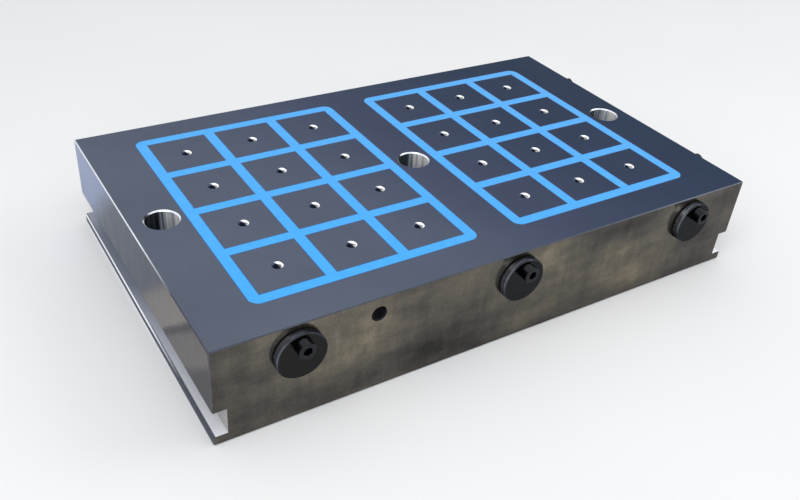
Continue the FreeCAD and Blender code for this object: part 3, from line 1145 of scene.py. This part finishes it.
@dataclass(frozen=True)
class SocketScrew:
    """A hexagon socket head cap screw with a knurled head, at the origin with its head up."""

    under_head_mm: float
    threaded_mm: float
    steps: int
    head_radius_mm: float = 6.5
    head_height_mm: float = 8.0
    head_chamfer_mm: float = 0.6
    socket_width_mm: float = 6.0
    socket_depth_mm: float = 4.0
    shank_radius_mm: float = 4.0
    core_radius_mm: float = 3.4
    pitch_mm: float = 1.25
    knurl_depth: float = 0.975
    knurl_start_mm: float = 1.0
    knurl_end_mm: float = 6.7
    mouth_chamfer_mm: float = 0.5
    shank_chamfer_mm: float = 0.5
    tip_chamfer_mm: float = 0.6
    tip_mm: float = 0.7
    sides: int = 64
    shank_sides: int = 32

    def is_groove(self, point: Vector) -> bool:
        """Tell whether a point lies on every second line of the knurled band.

        Args:
            point: The point's place.

        Returns:
            True if it does.
        """
        start, end = self.knurl_start_mm - OVERLAP_MM, self.knurl_end_mm + OVERLAP_MM
        if not start < point.z / MILLIMETRE < end:
            return False
        turn = math.atan2(point.y, point.x) / math.tau * self.sides
        return round(turn) % 2 == 0

    def build_head(self) -> Piece:
        """Turn the head, knurl its side and cut the hexagon.

        Returns:
            The head.
        """
        top = self.head_height_mm
        head = bar(self.head_radius_mm, 0.0, top, self.sides)
        bevel_end(head, top, self.head_chamfer_mm, Edge.CHAMFERED)
        for height in (self.knurl_start_mm, self.knurl_end_mm):
            open_mesh(head, "SELECT")
            bpy.ops.mesh.bisect(plane_co=(0, 0, height * MILLIMETRE), plane_no=(0, 0, 1))
        select_where(head, "VERT", self.is_groove)
        bpy.ops.transform.resize(
            value=(self.knurl_depth, self.knurl_depth, 1.0), center_override=(0, 0, 0)
        )
        corner = self.socket_width_mm / math.sqrt(3)
        tools = hexagon_tools(self.socket_width_mm, top - self.socket_depth_mm, top)
        mouth, middle = self.mouth_chamfer_mm, top - OVERLAP_MM
        tools.append(bar(corner - mouth, middle - mouth, middle + mouth, end_radius_mm=corner + mouth))
        cut(head, tools)
        return head

    def build(self) -> Piece:
        """Make the whole screw.

        Returns:
            The screw, with its seat at height 0.
        """
        plain_end = self.threaded_mm - self.under_head_mm
        head = self.build_head()
        shank = bar(self.shank_radius_mm, plain_end, OVERLAP_MM, self.shank_sides)
        bevel_end(shank, plain_end, self.shank_chamfer_mm, Edge.CHAMFERED)
        core_end = plain_end + 2 * OVERLAP_MM
        core = bar(self.core_radius_mm, -self.under_head_mm, core_end, self.shank_sides)
        bevel_end(core, -self.under_head_mm, self.tip_chamfer_mm, Edge.CHAMFERED)
        length = self.threaded_mm - self.tip_mm - OVERLAP_MM
        thread = Thread(
            self.core_radius_mm, self.shank_radius_mm, self.pitch_mm, length, self.steps
        ).coil()
        lift = (self.tip_mm - self.under_head_mm) * MILLIMETRE
        thread.data.transform(Matrix.Translation((0, 0, lift)))
        screw = joined([head, shank, core, thread], "socket_screw_model")
        smooth(screw)
        return screw


@dataclass
class StopScrews:
    """The five screws on which the stops turn."""

    seat_mm: float = 6.2
    threaded_mm: float = 16.0
    axis_height_mm: float = 70.0
    front_places_mm: tuple[float, ...] = (-187.5, 0.0, 187.5)
    end_places_mm: tuple[float, ...] = (-93.0, 93.0)

    def build(self) -> None:
        """Model one screw and set it in each stop."""
        model = SocketScrew(self.seat_mm + self.threaded_mm, self.threaded_mm, steps=24).build()
        low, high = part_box("chuck_body")
        seat = self.seat_mm * MILLIMETRE
        height = self.axis_height_mm * MILLIMETRE
        places = []
        for x_mm in self.front_places_mm:
            places.append((Vector((x_mm * MILLIMETRE, low[1] - seat, height)), Axis.FRONT))
        for y_mm in self.end_places_mm:
            places.append((Vector((high[0] + seat, y_mm * MILLIMETRE, height)), Axis.RIGHT))
        screws = set_copies(model, "stop_screws_detailed", places)
        dress(screws, BLACK_SCREW)
        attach(screws, "chuck")
        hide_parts("stop_screws")
        log_piece(screws)


@dataclass
class PoleField:
    """The poles with their tapped holes, and the screws that hold them from below."""

    tapped_depth_mm: float = 17.0
    tap_core_mm: float = 3.4
    tap_peak_mm: float = 4.0
    tap_pitch_mm: float = 1.25
    bore_reach_mm: float = 4.7
    seat_mm: float = 9.0
    screw_length_mm: float = 45.0
    screw_threaded_mm: float = 22.0

    def names(self) -> list[str]:
        """List the nodes of the poles."""
        return sorted(name for name in frame["nodes"] if name.startswith("pole_") and "_row_" in name)

    def foot(self, name: str) -> Vector:
        """Give the middle of a pole at height 0, in metres."""
        low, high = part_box(name)
        return Vector(((low[0] + high[0]) / 2, (low[1] + high[1]) / 2, 0))

    def build_poles(self) -> None:
        """Tap one pole and set a copy in the place of each."""
        first = self.names()[0]
        model = merged_copy(first, -self.foot(first))
        thread = Thread(
            self.tap_core_mm, self.tap_peak_mm, self.tap_pitch_mm, self.tapped_depth_mm, steps=20
        ).coil()
        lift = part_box(first)[1][2] - self.tapped_depth_mm * MILLIMETRE
        thread.data.transform(Matrix.Translation((0, 0, lift)))
        cut(model, [thread])
        dress(model, STEEL)
        model.data.materials.append(TAPPED_STEEL.material())
        reach = self.bore_reach_mm * MILLIMETRE
        for face in model.data.polygons:
            near_axis = math.hypot(face.center.x, face.center.y) < reach
            face.material_index = 1 if near_axis and abs(face.normal.z) < 0.98 else 0
        smooth(model)
        for name in self.names():
            pole = placed_copy(model, f"{name}_tapped", self.foot(name), Axis.UP)
            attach(pole, "chuck")
            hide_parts(name)
            log_piece(pole)
        bpy.data.objects.remove(model)

    def build_screws(self) -> None:
        """Model one pole screw and set a copy under each pole."""
        model = SocketScrew(self.screw_length_mm, self.screw_threaded_mm, steps=12).build()
        seat = Vector((0, 0, self.seat_mm * MILLIMETRE))
        places = [(self.foot(name) + seat, Axis.DOWN) for name in self.names()]
        screws = set_copies(model, "pole_screws_detailed", places)
        dress(screws, BLACK_SCREW)
        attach(screws, "chuck")
        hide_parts("pole_screws")
        log_piece(screws)


@dataclass
class LiftingThread:
    """The turns of the thread that stand out of the wall of the lifting hole."""

    place_x_mm: float = -125.5
    height_mm: float = 69.0
    depth_mm: float = 24.0
    mouth_mm: float = 1.3
    core_mm: float = 5.1
    crest_mm: float = 4.85
    pitch_mm: float = 1.75

    def build(self) -> None:
        """Wind the ridge inside the hole."""
        length = self.depth_mm - self.mouth_mm
        ridge = Thread(
            self.core_mm, self.crest_mm, self.pitch_mm, length, wall_share=0.5, peak_share=0.25
        ).coil()
        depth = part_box("chuck_body")[0][1] + self.depth_mm * MILLIMETRE
        base = Vector((self.place_x_mm * MILLIMETRE, depth, self.height_mm * MILLIMETRE))
        thread = set_copies(ridge, "lifting_thread", [(base, Axis.FRONT)])
        smooth(thread)
        # The turns are steel, but they lie in the dark of the hole, so they get the black screw finish
        # as painted shade
        dress(thread, BLACK_SCREW)
        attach(thread, "chuck")
        log_piece(thread)


@dataclass
class DuctPlug:
    """The screwed plug that closes the drilled wire duct, in the right-hand groove."""

    chamfer_mm: float = 0.7
    socket_width_mm: float = 6.0
    socket_depth_mm: float = 5.0

    def build(self) -> None:
        """Turn the plug from its own size in the frame and cut its hexagon."""
        low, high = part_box("duct_plug")
        length = (high[0] - low[0]) / MILLIMETRE
        plug = bar((high[2] - low[2]) / 2 / MILLIMETRE, 0.0, length, 64)
        bevel_end(plug, length, self.chamfer_mm, Edge.CHAMFERED)
        cut(plug, hexagon_tools(self.socket_width_mm, length - self.socket_depth_mm, length))
        base = Vector((low[0], (low[1] + high[1]) / 2, (low[2] + high[2]) / 2))
        placed = set_copies(plug, "duct_plug_detailed", [(base, Axis.RIGHT)])
        smooth(placed)
        dress(placed, ZINC_PLATING)
        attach(placed, "chuck")
        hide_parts("duct_plug")
        log_piece(placed)


@dataclass
class LeadReceptacle:
    """The receptacle for the switching lead, on the back."""

    centre_x_mm: float = 142.5
    height_mm: float = 29.0
    flange_face_mm: float = 5.0
    collar_mm: float = 14.0
    groove_mm: float = 13.35
    thread_start_mm: float = 8.5
    thread_mm: float = 11.5
    thread_pitch_mm: float = 1.5
    contact_circle_mm: float = 6.5
    contact_mm: float = 1.5
    contact_foot_mm: float = 3.0
    contact_tip_mm: float = 19.0
    screw_offset_mm: float = 13.0
    screw_head_mm: float = 3.5
    screw_head_height_mm: float = 2.4
    screw_shank_mm: float = 2.0
    screw_core_mm: float = 1.6
    screw_pitch_mm: float = 0.7
    screw_length_mm: float = 12.0
    screw_dome: float = 0.55
    screw_chamfer_mm: float = 0.4
    screw_tip_mm: float = 0.6
    screw_plain_mm: float = 1.0
    contact_round: float = 0.8
    recess_depth_mm: float = 1.3
    recess_reach: float = 2.9
    recess_width: float = 0.7

    def base(self, x_mm: float, out_mm: float, z_mm: float) -> Vector:
        """Give a place from the receptacle's axis on the back face.

        Args:
            x_mm: How far to the right of the axis.
            out_mm: How far out from the back face.
            z_mm: How far above the axis.

        Returns:
            The place, in metres.
        """
        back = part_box("chuck_body")[1][1]
        offset = Vector((self.centre_x_mm + x_mm, out_mm, self.height_mm + z_mm)) * MILLIMETRE
        return offset + Vector((0, back, 0))

    def corners(self, offset_mm: float, out_mm: float) -> list[tuple[Vector, Axis]]:
        """Give the four places around the axis, by their offset across and up, and the way out."""
        return [
            (self.base(x * offset_mm, out_mm, z * offset_mm), Axis.BACK)
            for x in (-1, 1)
            for z in (-1, 1)
        ]

    def build_shell(self) -> None:
        """Cut the coupling thread into the collar."""
        shell = merged_copy("receptacle_shell", Vector((0, 0, 0)))
        coil = Thread(
            self.collar_mm, self.groove_mm, self.thread_pitch_mm, self.thread_mm, steps=32
        ).coil()
        place = (self.base(0, self.thread_start_mm, 0), Axis.BACK)
        cut(shell, [set_copies(coil, "collar_tool", [place])])
        shell.name = "receptacle_shell_threaded"
        smooth(shell)
        dress(shell, CAST_ALUMINIUM)
        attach(shell, "chuck")
        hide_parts("receptacle_shell")
        log_piece(shell)

    def build_contacts(self) -> None:
        """Turn the four pins with round tips."""
        pin = bar(self.contact_mm, self.contact_foot_mm, self.contact_tip_mm, 24)
        bevel_end(pin, self.contact_tip_mm, self.contact_mm * self.contact_round, Edge.ROUNDED)
        smooth(pin, 40.0)
        places = self.corners(self.contact_circle_mm / math.sqrt(2), 0.0)
        pins = set_copies(pin, "receptacle_contacts_rounded", places)
        dress(pins, TURNED_BRASS)
        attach(pins, "chuck")
        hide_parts("receptacle_contacts")
        log_piece(pins)

    def build_screws(self) -> None:
        """Make the four pan head screws with a cross recess."""
        top = self.screw_head_height_mm
        head = bar(self.screw_head_mm, 0.0, top, 40)
        bevel_end(head, top, top * self.screw_dome, Edge.ROUNDED)
        blades = []
        for turn in (0, math.pi / 2):
            blade = bar(1.0, top - self.recess_depth_mm, top + TOOL_REACH_MM, sides=4)
            open_mesh(blade, "SELECT")
            bpy.ops.transform.rotate(
                value=math.pi / 4 + turn, orient_axis="Z", center_override=(0, 0, 0)
            )
            sizes = (self.recess_reach, self.recess_width)
            value = (*sizes[::-1], 1.0) if turn else (*sizes, 1.0)
            bpy.ops.transform.resize(value=value, center_override=(0, 0, 0))
            blades.append(blade)
        cut(head, blades)
        core = bar(self.screw_core_mm, -self.screw_length_mm, OVERLAP_MM, sides=20)
        bevel_end(core, -self.screw_length_mm, self.screw_chamfer_mm, Edge.CHAMFERED)
        length = self.screw_length_mm - self.screw_plain_mm
        thread = Thread(
            self.screw_core_mm, self.screw_shank_mm, self.screw_pitch_mm, length, steps=14
        ).coil()
        lift = (self.screw_tip_mm - self.screw_length_mm) * MILLIMETRE
        thread.data.transform(Matrix.Translation((0, 0, lift)))
        model = joined([head, core, thread], "receptacle_screw_model")
        smooth(model)
        places = self.corners(self.screw_offset_mm, self.flange_face_mm)
        screws = set_copies(model, "receptacle_screws_detailed", places)
        dress(screws, ZINC_PLATING)
        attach(screws, "chuck")
        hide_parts("receptacle_screws")
        log_piece(screws)

    def build(self) -> None:
        """Make the shell, the contacts and the screws."""
        self.build_shell()
        self.build_contacts()
        self.build_screws()


@dataclass
class Studio:
    """A pale floor, a white surround and soft lamps."""

    floor_size: float = 6.0
    floor_gap: float = 0.0003
    floor_colour: str = "#e4e5e7"
    floor_light: str = "#ecedee"
    key_power: float = 14.0
    fill_power: float = 5.0
    world_level: float = 0.75

    def build_floor(self) -> None:
        deselect_all()
        height = CAD_BOX[0][2] - self.floor_gap
        bpy.ops.mesh.primitive_plane_add(size=self.floor_size, location=(0, 0, height))
        floor = bpy.context.object
        floor.name = "floor"
        material = bpy.data.materials.new("studio_floor")
        material.use_nodes = True
        tree = material.node_tree
        place = add_node(tree, "TexCoord", {}, output="Object")
        cloud = add_node(tree, "TexNoise", {"Vector": place, "Scale": 3.0})
        colours = {0: cloud, 6: self.floor_colour, 7: self.floor_light}
        tint = add_node(tree, "Mix", colours, **COLOURS)
        feed(tree, tree.nodes["Principled BSDF"], {"Base Color": tint, "Roughness": 0.9})
        floor.data.materials.append(material)

    def build_world(self) -> None:
        """Make the surround white to the camera and in reflections, and softer as a light."""
        world = bpy.data.worlds.new("studio_world")
        bpy.context.scene.world = world
        world.use_nodes = True
        tree = world.node_tree
        path = add_node(tree, "LightPath", {}).node.outputs
        rays = [path[name] for name in ("Is Camera Ray", "Is Transmission Ray", "Is Glossy Ray")]
        seen = combined(tree, "MAXIMUM", rays)
        limits = {"Value": seen, "To Min": self.world_level, "To Max": 1.0}
        strength = add_node(tree, "MapRange", limits)
        feed(tree, tree.nodes["Background"], {"Strength": strength, "Color": "#ffffff"})

    def build_lamps(self) -> None:
        """Hang a large key lamp at the front left and a fill at the right."""
        for name, place, size, power in (
            ("key_lamp", (-0.9, -0.7, 1.5), 1.2, self.key_power),
            ("fill_lamp", (1.2, -0.4, 1.1), 1.0, self.fill_power),
        ):
            lamp = bpy.data.lights.new(name, "AREA")
            lamp.energy = power
            lamp.size = size
            holder = bpy.data.objects.new(name, lamp)
            bpy.context.scene.collection.objects.link(holder)
            holder.location = place
            holder.rotation_euler = (-Vector(place)).to_track_quat("-Z", "Y").to_euler()


@dataclass
class PhotographCamera:
    """The camera at the photograph's angle, fitted to the pole centres."""

    lens_mm: float = 38.815
    place_mm: tuple[float, float, float] = (-382.62, -542.80, 447.36)
    azimuth: float = -34.783
    elevation: float = 34.784
    roll: float = 5.238

    def build(self) -> None:
        """Add the camera and make it the scene's own."""
        azimuth, elevation, roll = map(math.radians, (self.azimuth, self.elevation, self.roll))
        level = Vector((math.sin(azimuth), -math.cos(azimuth), 0)) * math.cos(elevation)
        back = level + Vector((0, 0, math.sin(elevation)))
        level_right = (-back).cross(Vector((0, 0, 1))).normalized()
        level_up = level_right.cross(-back)
        right = level_right * math.cos(roll) + level_up * math.sin(roll)
        up = level_up * math.cos(roll) - level_right * math.sin(roll)
        data = bpy.data.cameras.new("camera")
        data.lens = self.lens_mm
        data.sensor_width = 36.0
        data.clip_start = 0.01
        holder = bpy.data.objects.new("camera", data)
        bpy.context.scene.collection.objects.link(holder)
        turn = Matrix((right, up, back)).transposed().to_4x4()
        place = Vector(self.place_mm) * MILLIMETRE
        holder.matrix_world = Matrix.Translation(place) @ turn
        bpy.context.scene.camera = holder


def main() -> None:
    """Dress the frame, add the detailed pieces, then build the studio and the camera."""
    logging.basicConfig(level=logging.INFO)
    CarriedNodes(frame["record"]).dress()
    field = PoleField()
    field.build_poles()
    field.build_screws()
    StopScrews().build()
    LiftingThread().build()
    DuctPlug().build()
    LeadReceptacle().build()
    studio = Studio()
    studio.build_floor()
    studio.build_world()
    studio.build_lamps()
    PhotographCamera().build()
    bpy.context.scene.view_settings.view_transform = "Standard"


if __name__ == "__main__":
    main()
